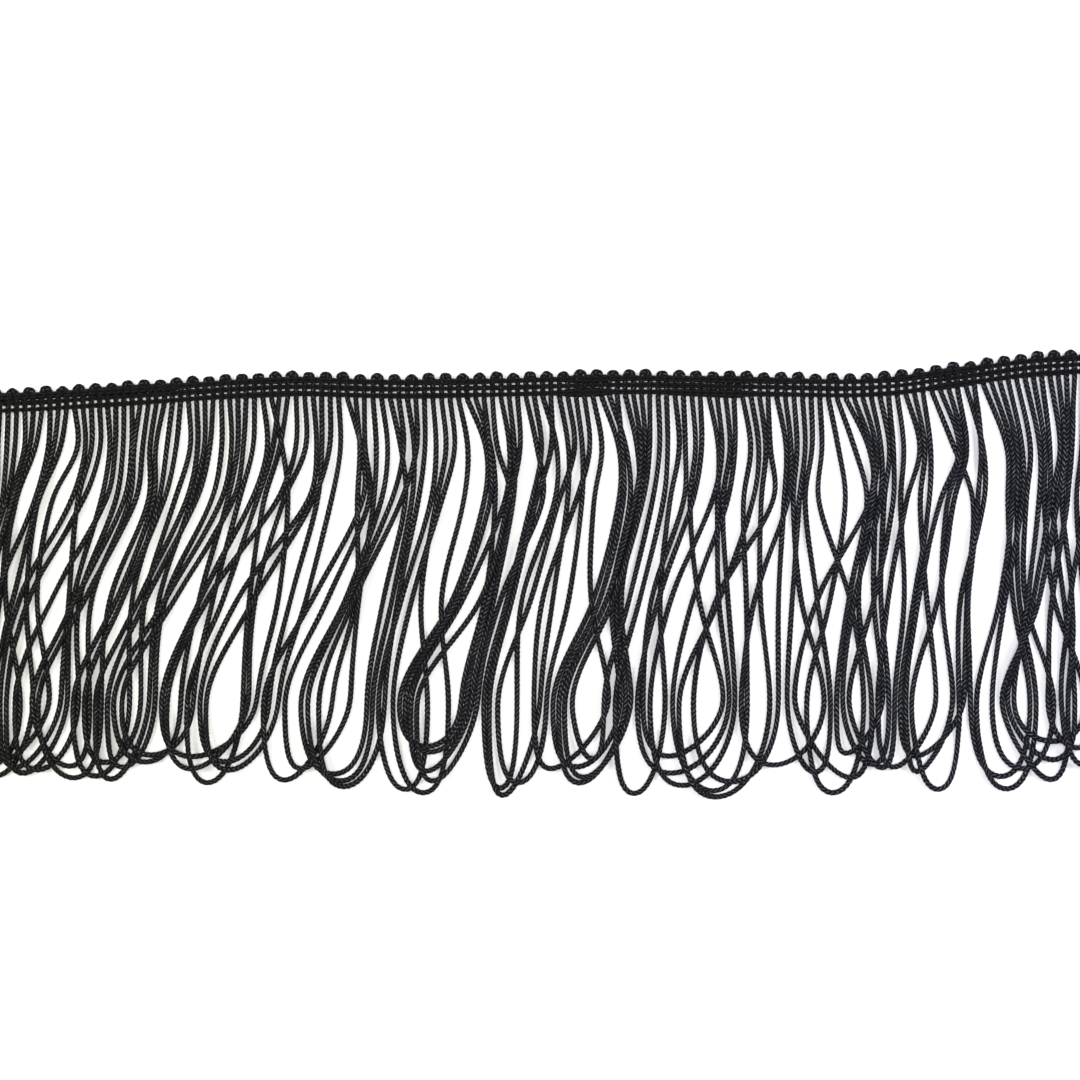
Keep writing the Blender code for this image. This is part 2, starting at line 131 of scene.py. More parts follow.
# Where each loop lies, from the left end of the trim to the right
# Columns: x of its left and right leg at each of the four levels, from the upper one
# down to the side of the bow; x and drop of the bow's lowest point
LOOP_TABLE = (
    (0.7, 4.0, -0.2, 2.4, -13.0, -4.5, -26.0, -11.0, -19.5, 133.5),
    (6.9, 10.4, 4.0, 5.4, -8.0, 1.6, -19.0, -4.0, -13.5, 131.0),
    (12.2, 14.3, 6.3, 7.3, -3.5, 3.6, -11.0, 9.0, -1.5, 131.0),
    (18.9, 20.8, 14.0, 15.1, 0.5, 11.0, -6.5, 13.5, 0.5, 135.5),
    (23.2, 29.5, 15.7, 20.2, 6.3, 14.8, -1.0, 19.5, 3.5, 129.5),
    (32.2, 34.4, 27.2, 29.4, 8.7, 26.2, 1.5, 23.5, 7.5, 132.5),
    (37.5, 40.9, 31.5, 37.8, 12.1, 27.8, 3.8, 25.8, 10.5, 134.5),
    (42.8, 45.6, 39.7, 43.1, 20.1, 30.0, 7.0, 29.8, 15.5, 133.0),
    (48.7, 49.4, 46.0, 48.0, 29.0, 34.3, 13.0, 33.6, 26.5, 132.0),
    (52.5, 55.1, 50.2, 54.8, 32.2, 40.9, 15.3, 37.8, 28.0, 136.0),
    (57.2, 61.2, 56.6, 58.5, 43.4, 48.8, 27.8, 48.0, 36.0, 135.5),
    (64.5, 69.7, 60.4, 64.1, 45.5, 53.4, 31.8, 52.0, 39.5, 130.5),
    (72.3, 74.7, 68.3, 70.1, 51.5, 58.4, 35.7, 55.0, 41.5, 137.0),
    (76.6, 80.9, 71.9, 77.3, 54.0, 60.7, 39.9, 57.1, 46.0, 132.5),
    (84.4, 86.6, 80.8, 83.0, 61.0, 72.8, 42.0, 66.2, 54.0, 130.0),
    (88.6, 92.1, 85.1, 87.1, 64.2, 77.8, 45.0, 70.8, 56.0, 127.5),
    (97.3, 102.6, 91.6, 104.6, 73.4, 101.1, 59.2, 93.5, 71.0, 128.0),
    (99.2, 101.8, 93.5, 96.0, 81.4, 90.8, 68.5, 88.5, 76.0, 138.0),
    (107.4, 111.0, 100.9, 103.1, 75.9, 92.8, 61.3, 90.6, 70.5, 132.5),
    (114.8, 116.7, 112.0, 115.2, 86.5, 105.5, 73.0, 97.9, 82.5, 130.0),
    (119.5, 123.4, 113.7, 120.1, 92.6, 111.1, 75.2, 101.2, 84.0, 133.0),
    (130.9, 130.3, 131.4, 129.4, 113.4, 128.9, 95.8, 120.5, 103.5, 137.0),
    (132.2, 136.2, 133.8, 135.3, 118.7, 130.0, 103.4, 127.0, 109.0, 133.0),
    (140.3, 145.0, 138.0, 146.7, 125.2, 138.7, 109.0, 132.8, 121.0, 134.5),
    (146.1, 149.8, 141.7, 148.9, 126.4, 141.8, 111.5, 134.8, 123.5, 137.0),
    (150.7, 153.6, 145.2, 151.2, 128.4, 143.9, 115.5, 139.2, 125.0, 139.0),
    (157.6, 161.2, 155.8, 157.7, 145.2, 152.1, 136.9, 154.5, 146.5, 140.5),
    (164.3, 169.0, 159.6, 167.5, 148.9, 159.4, 142.0, 162.0, 153.0, 141.5),
    (175.5, 177.3, 174.8, 178.7, 163.5, 175.0, 144.2, 166.5, 154.0, 124.5),
    (176.6, 179.4, 177.0, 184.6, 165.1, 176.4, 146.3, 168.5, 155.5, 126.5),
    (183.9, 185.6, 182.3, 185.2, 167.2, 178.2, 148.4, 170.5, 154.0, 134.0),
    (187.7, 193.7, 183.7, 195.8, 173.6, 180.6, 150.6, 172.5, 156.5, 137.5),
    (195.4, 200.8, 191.8, 200.1, 183.0, 188.2, 174.5, 186.5, 180.5, 140.5),
    (198.8, 204.9, 193.4, 204.6, 184.8, 199.3, 176.5, 194.8, 181.5, 143.0),
    (207.2, 209.9, 201.5, 209.7, 191.5, 205.0, 179.5, 197.0, 187.0, 138.0),
    (212.6, 217.0, 207.7, 214.0, 195.6, 212.9, 192.5, 219.5, 198.0, 133.0),
    (223.0, 225.6, 223.0, 227.0, 213.9, 220.3, 199.2, 223.5, 208.0, 132.0),
    (224.0, 229.5, 224.6, 229.8, 216.2, 222.2, 201.3, 225.5, 209.0, 138.0),
    (230.9, 232.5, 228.6, 230.4, 218.6, 223.6, 203.4, 227.5, 210.5, 136.0),
    (233.9, 237.5, 231.4, 235.0, 221.0, 226.6, 206.0, 217.5, 213.5, 130.0),
    (240.4, 244.6, 238.9, 241.2, 230.4, 237.6, 221.5, 239.5, 228.5, 142.0),
    (246.7, 250.4, 246.2, 248.3, 234.5, 251.5, 231.5, 260.5, 241.0, 128.0),
    (252.5, 258.6, 249.4, 258.2, 237.0, 258.6, 229.5, 262.5, 242.0, 134.0),
    (259.8, 262.8, 256.4, 260.0, 241.5, 261.9, 234.0, 264.5, 246.0, 138.5),
    (264.5, 270.2, 261.7, 267.4, 249.3, 268.5, 242.0, 268.8, 256.5, 140.5),
    (273.0, 275.6, 270.9, 273.8, 258.8, 273.5, 244.3, 277.0, 258.0, 142.5),
    (277.0, 282.8, 278.3, 282.0, 257.5, 280.0, 249.5, 280.0, 263.0, 137.0),
    (284.5, 286.7, 283.3, 285.2, 271.4, 288.0, 266.6, 296.5, 278.5, 131.0),
    (289.6, 292.1, 287.4, 289.4, 284.9, 293.8, 283.0, 298.6, 293.0, 134.5),
    (295.6, 301.4, 294.2, 304.0, 305.5, 298.5, 310.5, 290.0, 299.5, 141.5),
    (307.2, 312.5, 311.7, 314.5, 305.0, 314.0, 300.7, 317.5, 303.0, 128.0),
    (313.0, 315.0, 312.7, 313.6, 293.7, 308.5, 285.5, 313.3, 305.5, 136.0),
    (316.8, 319.8, 316.3, 317.8, 307.0, 316.6, 302.8, 319.5, 313.5, 131.5),
    (320.9, 324.9, 321.1, 323.6, 314.0, 325.0, 304.9, 321.5, 317.0, 133.0),
    (330.8, 332.5, 325.7, 330.6, 319.2, 333.0, 315.4, 336.5, 321.0, 132.5),
    (334.4, 342.9, 333.9, 349.6, 328.5, 347.4, 323.5, 346.5, 328.5, 128.5),
    (344.8, 346.0, 337.9, 340.4, 329.8, 338.5, 325.5, 342.5, 329.0, 134.5),
    (347.2, 353.2, 342.7, 353.6, 336.9, 345.0, 327.5, 344.5, 337.0, 140.5),
    (352.3, 361.8, 351.2, 362.0, 347.6, 363.8, 348.6, 370.0, 359.5, 135.5),
    (363.6, 365.4, 363.5, 365.3, 359.2, 366.0, 350.7, 372.2, 361.5, 140.0),
    (367.2, 370.2, 367.0, 368.6, 361.0, 368.2, 356.3, 378.5, 367.0, 132.5),
    (373.5, 375.3, 373.2, 375.0, 369.0, 378.5, 364.0, 390.0, 378.0, 122.5),
    (377.1, 380.8, 376.7, 378.0, 371.0, 382.0, 361.6, 386.0, 378.0, 129.5),
    (382.4, 383.6, 379.6, 381.3, 372.8, 385.0, 359.5, 383.5, 377.5, 137.0),
    (384.6, 388.5, 383.2, 386.5, 377.6, 389.5, 376.2, 395.0, 386.5, 125.0),
    (391.0, 394.5, 389.5, 392.5, 384.0, 396.5, 380.8, 401.5, 390.0, 131.5),
)

# One chain stitch of the heading: a closed teardrop of yarn over one cord, half of it
# Columns: x from the cord, half its width, height of the yarn's middle
STITCH_HALF = (
    (1.95, 0.0, 1.5), (1.55, 0.2, 2.2), (0.8, 0.36, 2.4), (0.0, 0.5, 2.35),
    (-0.7, 0.56, 2.15), (-1.15, 0.42, 1.9), (-1.35, 0.0, 1.75),
)
YARN_RADIUS = 0.44
# The thread laid into a row: its middle level and how far it waves, its points for each
# stitch, and how many times more than the stitches it spreads
INLAY_RADIUS = 0.58
INLAY_LEVEL = 0.9
INLAY_WAVE = 0.3
INLAY_STEPS = 4
INLAY_GAIN = 4.0

# How far the stitches of a row spread across it; where they spread, they close the
# pinholes between that row and the middle one
# Columns: distance from the left cut end, spread of the low row, spread of the top row
SPREAD_TABLE = (
    (0.0, 1.0, 1.4), (60.0, 1.0, 1.4), (72.0, 1.0, 1.15), (200.0, 1.05, 1.15),
    (207.0, 1.35, 1.35), (216.0, 1.35, 1.35), (221.0, 1.0, 1.1), (236.0, 1.05, 1.1),
    (241.0, 1.35, 1.35), (265.0, 1.35, 1.35), (270.0, 1.0, 1.15), (334.0, 1.0, 1.15),
    (339.0, 1.35, 1.35), (351.0, 1.35, 1.35), (356.0, 1.05, 1.1), (396.0, 1.0, 1.1),
)
# How unevenly a row's stitches spread, in a fixed wave that doesn't repeat, and the least
# that anything in a row spreads
SPREAD_JITTER = 0.12
JITTER_PER_STITCH = 12.9
JITTER_PER_ROW = 3.7
LEAST_SPREAD = 0.7

# Picot: the cord's turn between two legs at the top edge, where it swells
PICOT_CENTRE = 6.7
PICOT_RADIUS = 1.3
PICOT_STEPS = 8
PICOT_SWELL = 1.15
# How much higher one picot stands than another, in turn
PICOT_RISES = (0.25, -0.1, 0.1, 0.35, -0.3, 0.15, 0.0, -0.2, 0.3)
# The picot's filled middle: its radius, its flatness and its height above the turn's centre
CORE_RADIUS = 1.5
CORE_THICK = 0.7
CORE_RISE = 0.2 * PICOT_RADIUS

# Finishes: viscose's index of refraction; the filaments' bands to a stitch, not a whole
# number, so that they shift from stitch to stitch; the pitch of the yarn's plies and the
# size of its fuzz; and the relief of filaments and plies
VISCOSE_IOR = 1.53
FILAMENT_BANDS = 3.024
PLY_PITCH = 1.0134
FUZZ_SIZE = 1.1111
FILAMENT_RELIEF = 0.06
PLY_RELIEF = 0.1
# Where a stitch's crest is full and where it has faded, as shares of the stitch from its middle
CREST_FULL = 0.1
CREST_END = 0.24
# Width of one band of the wave pattern along one axis at scale 1
WAVE_BAND = 0.1 * math.pi
# Distance from the middle of the trim, in metres, where the painted lamp cast is fully warm or
# cool
PAINTED_CAST_REACH = 0.2

# Studio: width of the floor and size of its faint clouds in metres, strength of the light all
# round, and the soft boxes' place and width in metres, power in watts and colour
FLOOR_WIDTH = 6.0
CLOUD_SIZE = 0.1667
SURROUND_STRENGTH = 0.18
SOFTBOXES = {
    "overhead_softbox": ((0.0, 0.0, 1.5), 0.5, 14.8, (1.0, 1.0, 1.0)),
    "left_softbox": ((-0.55, 0.1, 0.75), 0.3, 3.7, (1.0, 0.985, 0.95)),
    "right_softbox": ((0.55, 0.1, 0.75), 0.3, 3.7, (0.97, 0.975, 1.0)),
}

# Photograph: a straight view down on a square piece of the surface
VIEW_WIDTH = 386.6
VIEW_CENTRE = (194.7, -50.8)
LENS = 100.0
SENSOR = 36.0

# Place of the trim's datum in the model's frame, from the top row's solid: its left
# end is the left cut end, and its lowest corner is under the edge's greatest drop
picot_low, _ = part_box("picot_row")
GREATEST_DROP = max(row[1] for row in EDGE_TABLE)
DATUM = Vector((picot_low.x, picot_low.y - (PICOT_LOW - GREATEST_DROP) * MM, 0.0))


def place(x, y, z):
    """A point of the trim, in millimetres from its datum, as a place in the model."""
    return DATUM + Vector((x, y, z)) * MM


def edge_drop(x):
    """Drop of the heading's lower edge below the datum line, with its corners eased."""
    places, drops, _ = zip(*EDGE_TABLE)
    around = x + np.linspace(-EDGE_SMOOTHING, EDGE_SMOOTHING, EDGE_SAMPLES)
    return float(np.interp(around, places, drops).mean())


def slipped(x):
    """Where a stitch whose even place is x has slipped to."""
    places, _, slips = zip(*EDGE_TABLE)
    return x + float(np.interp(x, places, slips))


# Shaping tools

def deselect_all():
    for piece in bpy.context.selected_objects:
        piece.select_set(False)


def choose(piece):
    """Makes one piece the active one and the only one selected."""
    deselect_all()
    piece.hide_set(False)
    piece.select_set(True)
    bpy.context.view_layer.objects.active = piece


def pick_points(piece, test):
    """Opens a piece for editing with the points that pass a test selected."""
    choose(piece)
    bpy.ops.object.mode_set(mode="EDIT")
    bpy.ops.mesh.select_mode(type="VERT")
    bpy.ops.mesh.select_all(action="DESELECT")
    bpy.ops.object.mode_set(mode="OBJECT")
    for point in piece.data.vertices:
        point.select = test(point.co)
    bpy.ops.object.mode_set(mode="EDIT")


def stop_editing():
    bpy.ops.object.mode_set(mode="OBJECT")


def apply_modifiers(piece):
    choose(piece)
    for modifier in list(piece.modifiers):
        bpy.ops.object.modifier_apply(modifier=modifier.name)


def as_mesh(curve):
    """The mesh that a curve becomes."""
    choose(curve)
    bpy.ops.object.convert(target="MESH")
    return bpy.context.object


def repeat_along(piece, count, pitch):
    """An array of copies of a piece along X, a pitch apart; it still has to be applied."""
    row = piece.modifiers.new("stitches", "ARRAY")
    row.count = count
    row.use_relative_offset = False
    row.use_constant_offset = True
    row.constant_offset_displace = (pitch * MM, 0.0, 0.0)
    return row


def copy_of(piece, name):
    """A copy of a piece with its own mesh."""
    copy = piece.copy()
    copy.data = piece.data.copy()
    copy.name = name
    bpy.context.scene.collection.objects.link(copy)
    return copy


def join(pieces, name):
    """Joins pieces into one and names it."""
    deselect_all()
    for piece in pieces:
        piece.select_set(True)
    bpy.context.view_layer.objects.active = pieces[0]
    bpy.ops.object.join()
    pieces[0].name = name
    return pieces[0]


def remove(piece):
    bpy.data.objects.remove(piece)


def route_curve(points, name, cyclic=False, bevel=0.0, sides=0, radii=None, tilts=None):
    """A curve through points given in metres."""
    curve = bpy.data.curves.new(name, "CURVE")
    curve.dimensions = "3D"
    curve.twist_mode = "Z_UP"
    curve.bevel_depth = bevel
    curve.bevel_resolution = sides
    curve.use_fill_caps = True
    spline = curve.splines.new("POLY")
    spline.points.add(len(points) - 1)
    for index, (x, y, z) in enumerate(points):
        spline.points[index].co = (x, y, z, 1.0)
        if radii is not None:
            spline.points[index].radius = radii[index]
        if tilts is not None:
            spline.points[index].tilt = tilts[index]
    spline.use_cyclic_u = cyclic
    route = bpy.data.objects.new(name, curve)
    bpy.context.scene.collection.objects.link(route)
    return route


# Finishes

def linear(code):
    """Linear colour of an sRGB hex value."""
    channels = [int(code[start:start + 2], 16) / 255 for start in (1, 3, 5)]
    straight = [c / 12.92 if c <= 0.04045 else ((c + 0.055) / 1.055) ** 2.4 for c in channels]
    return (*straight, 1.0)


def add_node(tree, kind, settings=None, sockets=None):
    """Adds a node, sets its properties, and gives its sockets values or links."""
    node = tree.nodes.new(kind)
    for name, value in (settings or {}).items():
        setattr(node, name, value)
    for name, value in (sockets or {}).items():
        if isinstance(value, bpy.types.NodeSocket):
            tree.links.new(value, node.inputs[name])
        else:
            node.inputs[name].default_value = value
    return node


def new_material(name):
    """A new material, its nodes and its shader."""
    material = bpy.data.materials.new(name)
    material.use_nodes = True
    return material, material.node_tree, material.node_tree.nodes["Principled BSDF"]


def share_along(tree, spots):
    """Share of the way along the trim: 0 at its left end, 1 at its right end, where the painted
    lamp cast goes from warm to cool.
    """
    axes = add_node(tree, "ShaderNodeSeparateXYZ", None, {"Vector": spots.outputs["Object"]})
    share = add_node(tree, "ShaderNodeMapRange", None, {
        "Value": axes.outputs["X"], "From Min": -PAINTED_CAST_REACH, "From Max": PAINTED_CAST_REACH})
    return share.outputs["Result"]


def viscose_chainette():
    """Spun-dyed viscose filament knitted into a chain: black grooves, and a painted highlight on
    the stitch crests.
    """
    material, tree, shader = new_material("viscose_chainette")
    shader.inputs["IOR"].default_value = VISCOSE_IOR
    shader.inputs["Specular IOR Level"].default_value = 0.22
    spots = add_node(tree, "ShaderNodeTexCoord")
    along = share_along(tree, spots)
    # one random value for each half of each stitch
    halves = add_node(tree, "ShaderNodeMapping", None, {
        "Vector": spots.outputs["UV"], "Scale": (2.0, 1.0, 1.0)})
    half_stitch = add_node(tree, "ShaderNodeVectorMath", {"operation": "FLOOR"}, {
        0: halves.outputs["Vector"]})
    stitch_noise = add_node(tree, "ShaderNodeTexWhiteNoise", {"noise_dimensions": "2D"}, {
        "Vector": half_stitch.outputs["Vector"]})
    # the crest of each stitch, where light catches the filaments: 1 there, 0 in the groove; it
    # places the painted highlight and the crest's smoother finish
    stitch = add_node(tree, "ShaderNodeSeparateXYZ", None, {"Vector": spots.outputs["UV"]})
    part = add_node(tree, "ShaderNodeMath", {"operation": "FRACT"}, {0: stitch.outputs["Y"]})
    past_middle = add_node(tree, "ShaderNodeMath", {"operation": "SUBTRACT"}, {
        0: part.outputs["Value"], 1: 0.5})
    from_middle = add_node(tree, "ShaderNodeMath", {"operation": "ABSOLUTE"}, {
        0: past_middle.outputs["Value"]})
    crest = add_node(tree, "ShaderNodeMapRange", {"interpolation_type": "SMOOTHSTEP"}, {
        "Value": from_middle.outputs["Value"], "From Min": CREST_END, "From Max": CREST_FULL})
    # each half shows a random share of its crest's painted highlight, for the light that its
    # filaments catch as they happen to lie
    painted_highlight_share = add_node(tree, "ShaderNodeMapRange", None, {
        "Value": stitch_noise.outputs["Value"], "To Min": 0.3})
    painted_highlight_mask = add_node(tree, "ShaderNodeMath", {"operation": "MULTIPLY"}, {
        0: crest.outputs["Result"], 1: painted_highlight_share.outputs["Result"]})
    # the cord's own black in the grooves, with a faint painted cool cast towards the right end
    groove = add_node(tree, "ShaderNodeMix", {"data_type": "RGBA"}, {
        "Factor": along, "A": linear("#030302"), "B": linear("#020204")})
    # painted highlight colour of the stitch crests, brighter and cooler towards the right end
    painted_highlight_colour = add_node(tree, "ShaderNodeMix", {"data_type": "RGBA"}, {
        "Factor": along, "A": linear("#262521"), "B": linear("#3B3F4E")})
    cord_colour = add_node(tree, "ShaderNodeMix", {"data_type": "RGBA"}, {
        "Factor": painted_highlight_mask.outputs["Value"],
        "A": groove.outputs["Result"], "B": painted_highlight_colour.outputs["Result"]})
    tree.links.new(cord_colour.outputs["Result"], shader.inputs["Base Color"])
    crest_gloss = add_node(tree, "ShaderNodeMapRange", None, {
        "Value": stitch_noise.outputs["Value"], "To Min": 0.36, "To Max": 0.17})
    gloss = add_node(tree, "ShaderNodeMapRange", None, {
        "Value": crest.outputs["Result"], "To Min": 1.0, "To Max": crest_gloss.outputs["Result"]})
    tree.links.new(gloss.outputs["Result"], shader.inputs["Roughness"])
    # filaments lie along each stitch; they are finer than a pixel, so they are drawn as three
    filaments = add_node(tree, "ShaderNodeTexWave", {"bands_direction": "Y"}, {
        "Vector": spots.outputs["UV"], "Scale": FILAMENT_BANDS * WAVE_BAND,
        "Distortion": 0.6, "Detail": 2.0})
    bump = add_node(tree, "ShaderNodeBump", None, {
        "Height": filaments.outputs["Fac"], "Strength": 0.3, "Distance": FILAMENT_RELIEF * MM})
    tree.links.new(bump.outputs["Normal"], shader.inputs["Normal"])
    return material


def stitching_yarn():
    """Dull black viscose yarn of two plies, chain stitched round the cords."""
    material, tree, shader = new_material("two_ply_stitching_yarn")
    shader.inputs["IOR"].default_value = VISCOSE_IOR
    shader.inputs["Specular IOR Level"].default_value = 0.12
    shader.inputs["Roughness"].default_value = 0.6
    shader.inputs["Sheen Weight"].default_value = 0.01
    spots = add_node(tree, "ShaderNodeTexCoord")
    along = share_along(tree, spots)
    # the yarn's own black, with a faint painted cool cast towards the right end
    yarn_black_and_painted_cast = add_node(tree, "ShaderNodeMix", {"data_type": "RGBA"}, {
        "Factor": along, "A": linear("#0B0A0A"), "B": linear("#0A0A0D")})
    fuzz = add_node(tree, "ShaderNodeTexNoise", None, {
        "Vector": spots.outputs["Object"], "Scale": 1 / (FUZZ_SIZE * MM), "Detail": 3.0})
    fuzzy = add_node(tree, "ShaderNodeMapRange", None, {
        "Value": fuzz.outputs["Fac"], "From Min": 0.55, "From Max": 0.8, "To Max": 0.6})
    paler = add_node(tree, "ShaderNodeMix", {"data_type": "RGBA"}, {
        "Factor": fuzzy.outputs["Result"],
        "A": yarn_black_and_painted_cast.outputs["Result"], "B": linear("#1A1B1D")})
    tree.links.new(paler.outputs["Result"], shader.inputs["Base Color"])
    # a band of the diagonal pattern is twice as wide along an axis
    plies = add_node(tree, "ShaderNodeTexWave", {"bands_direction": "DIAGONAL"}, {
        "Vector": spots.outputs["Object"], "Scale": 2 * WAVE_BAND / (PLY_PITCH * MM),
        "Distortion": 1.5})
    bump = add_node(tree, "ShaderNodeBump", None, {
        "Height": plies.outputs["Fac"], "Strength": 0.5, "Distance": PLY_RELIEF * MM})
    tree.links.new(bump.outputs["Normal"], shader.inputs["Normal"])
    return material


def pale_board():
    """Matt white card of the studio surface, with faint clouds, and a painted warm cast at the
    left and cool cast at the right.
    """
    material, tree, shader = new_material("pale_card")
    shader.inputs["Roughness"].default_value = 0.9
    shader.inputs["Specular IOR Level"].default_value = 0.2
    spots = add_node(tree, "ShaderNodeTexCoord")
    clouds = add_node(tree, "ShaderNodeTexNoise", None, {
        "Vector": spots.outputs["Object"], "Scale": 1 / CLOUD_SIZE, "Detail": 2.0})
    along = share_along(tree, spots)
    # faint clouds of tone in the card, under a painted warm lamp cast at the left and a painted
    # cool one at the right
    clouds_with_warm_cast = add_node(tree, "ShaderNodeMix", {"data_type": "RGBA"}, {
        "Factor": clouds.outputs["Fac"], "A": linear("#F2F0E8"), "B": linear("#F5F4EE")})
    clouds_with_cool_cast = add_node(tree, "ShaderNodeMix", {"data_type": "RGBA"}, {
        "Factor": clouds.outputs["Fac"], "A": linear("#F0F0F7"), "B": linear("#F4F4F9")})
    card_tone_and_painted_cast = add_node(tree, "ShaderNodeMix", {"data_type": "RGBA"}, {
        "Factor": along, "A": clouds_with_warm_cast.outputs["Result"], "B": clouds_with_cool_cast.outputs["Result"]})
    tree.links.new(card_tone_and_painted_cast.outputs["Result"], shader.inputs["Base Color"])
    return material


# Straight chainette, modelled once

def chainette_stitch():
    """One stitch of the cord along X: a ring whose points slant back from a V."""
    deselect_all()
    bpy.ops.mesh.primitive_cylinder_add(
        vertices=CORD_COLUMNS, radius=CORD_RADIUS * MM, depth=CORD_STITCH * MM,
        end_fill_type="NOTHING", location=(0.5 * CORD_STITCH * MM, 0.0, 0.0),
        rotation=(0.0, 0.5 * math.pi, 0.0))
    stitch = bpy.context.object
    stitch.name = "chainette_stitch"
    bpy.ops.object.transform_apply(location=True, rotation=True, scale=True)
    bpy.ops.object.mode_set(mode="EDIT")
    bpy.ops.mesh.select_mode(type="EDGE")
    bpy.ops.mesh.select_all(action="DESELECT")
    bpy.ops.object.mode_set(mode="OBJECT")
    points = stitch.data.vertices
    for edge in stitch.data.edges:
        start, end = (points[index].co for index in edge.vertices)
        edge.select = abs(start.x - end.x) > 0.5 * CORD_STITCH * MM
    bpy.ops.object.mode_set(mode="EDIT")
    bpy.ops.mesh.subdivide(number_cuts=len(RING_RADII) - 2)
    stop_editing()
    ring_gap = CORD_STITCH * MM / (len(RING_RADII) - 1)
    for ring, factor in enumerate(RING_RADII):
        pick_points(stitch, lambda co: abs(co.x - ring * ring_gap) < NEAR * ring_gap)
        bpy.ops.transform.resize(value=(1.0, factor, factor), center_override=(0.0, 0.0, 0.0))
        stop_editing()
    step = 2 * math.pi / CORD_COLUMNS
    for column in range(CORD_COLUMNS // 2 + 1):
        around = column * step
        fullness = 1.0 - SIDE_DRAW_IN * math.cos(around) ** 2
        pick_points(stitch, lambda co: abs(abs(math.atan2(co.z, co.y)) - around) < NEAR * step)
        bpy.ops.transform.resize(value=(1.0, fullness, fullness), center_override=(0.0, 0.0, 0.0))
        bpy.ops.transform.translate(value=(CHEVRON * around * MM, 0.0, 0.0))
        stop_editing()
    return stitch


def straight_cord(length):
    """A straight length of chainette along X from 0, a little longer than asked."""
    cord = chainette_stitch()
    cord.name = "straight_cord"
    slant = CHEVRON * math.pi
    row = repeat_along(cord, math.ceil((length + 2 * slant) / CORD_STITCH) + 1, CORD_STITCH)
    row.use_merge_vertices = True
    row.merge_threshold = MERGE_GAP * MM
    row.offset_v = 1.0
    apply_modifiers(cord)
    pick_points(cord, lambda co: True)
    bpy.ops.transform.translate(value=(-slant * MM, 0.0, 0.0))
    bpy.ops.mesh.bisect(
        plane_co=(0.0, 0.0, 0.0), plane_no=(-1.0, 0.0, 0.0), use_fill=True, clear_outer=True)
    stop_editing()
    bpy.ops.object.shade_smooth()
    return cord


def route_length(points):
    """Length of the straight runs between a route's points."""
    return float(np.linalg.norm(np.diff(points, axis=0), axis=1).sum())


def cord_along(straight, points, name, turn_start=0.0, turn=0.0, radii=None):
    """The straight cord cut to a route's length and bent along it; points in metres."""
    cord = copy_of(straight, name)
    length = route_length(points)
    pick_points(cord, lambda co: True)
    bpy.ops.mesh.bisect(
        plane_co=(length, 0.0, 0.0), plane_no=(1.0, 0.0, 0.0), use_fill=True, clear_outer=True)
    stop_editing()
    tilts = np.linspace(turn_start, turn_start + turn, len(points))
    route = route_curve(points, name + "_route", radii=radii, tilts=tilts)
    bend = cord.modifiers.new("lie", "CURVE")
    bend.object = route
    bend.deform_axis = "POS_X"
    apply_modifiers(cord)
    remove(route)
    return cord


# Loops

def ease(start, end, slope_start, slope_end, drops):
    """x at drops, on a cubic between two (x, drop) places with given slopes dx/ddrop."""
    run = end[1] - start[1]
    t = (drops - start[1]) / run
    stay = 2 * t**3 - 3 * t**2 + 1
    leave = t**3 - 2 * t**2 + t
    arrive = t**3 - t**2
    return stay * start[0] + (1 - stay) * end[0] + run * (leave * slope_start + arrive * slope_end)


def leg_route(root_x, levels_x):
    """Points of one leg as rows of (x, drop): from the heading down to the side of the bow."""
    top = edge_drop(root_x)
    places = [(root_x, top)] + list(zip(levels_x, LEVELS))
    slopes = [(places[1][0] - root_x) / (places[1][1] - top)]
    for above, below in zip(places[:-2], places[2:]):
        slopes.append((below[0] - above[0]) / (below[1] - above[1]))
    slopes.append(SIDE_LEAN * (places[-1][0] - places[-2][0]) / (places[-1][1] - places[-2][1]))
    rows = [(root_x, top - ROW_HEIGHTS["low"])]
    for run in range(len(LEVELS)):
        drops = np.linspace(places[run][1], places[run + 1][1], RUN_PARTS + 1)[:-1]
        rows += zip(ease(places[run], places[run + 1], slopes[run], slopes[run + 1], drops), drops)
    return rows + [places[-1]]


def bow_route(side_x, other_x, foot_x, foot_drop):
    """Points of half a bow as rows of (x, drop), on a quarter of a superellipse."""
    reach = abs(side_x - foot_x) / (0.5 * abs(other_x - side_x))
    fullness = min(BOW_MOST, max(BOW_LEAST, BOW_EVEN + BOW_GAIN * (1.0 - reach)))
    rows = []
    for angle in np.linspace(0.0, 0.5 * math.pi, BOW_PARTS + 1)[1:]:
        across = max(0.0, math.cos(angle)) ** (2 / fullness)
        down = math.sin(angle) ** (2 / fullness)
        rows.append((foot_x + (side_x - foot_x) * across,
                     SIDE_DROP + (foot_drop - SIDE_DROP) * down))
    return rows


def evenly(rows, step):
    """The route's points again, an even step apart."""
    rows = np.array(rows)
    along = np.concatenate(([0.0], np.cumsum(np.linalg.norm(np.diff(rows, axis=0), axis=1))))
    even = np.linspace(0.0, along[-1], round(along[-1] / step) + 1)
    return np.column_stack([np.interp(even, along, column) for column in rows.T])


def eased(values):
    """Each value but the first and last, drawn half way towards its neighbours."""
    return 0.25 * values[:-2] + 0.5 * values[1:-1] + 0.25 * values[2:]


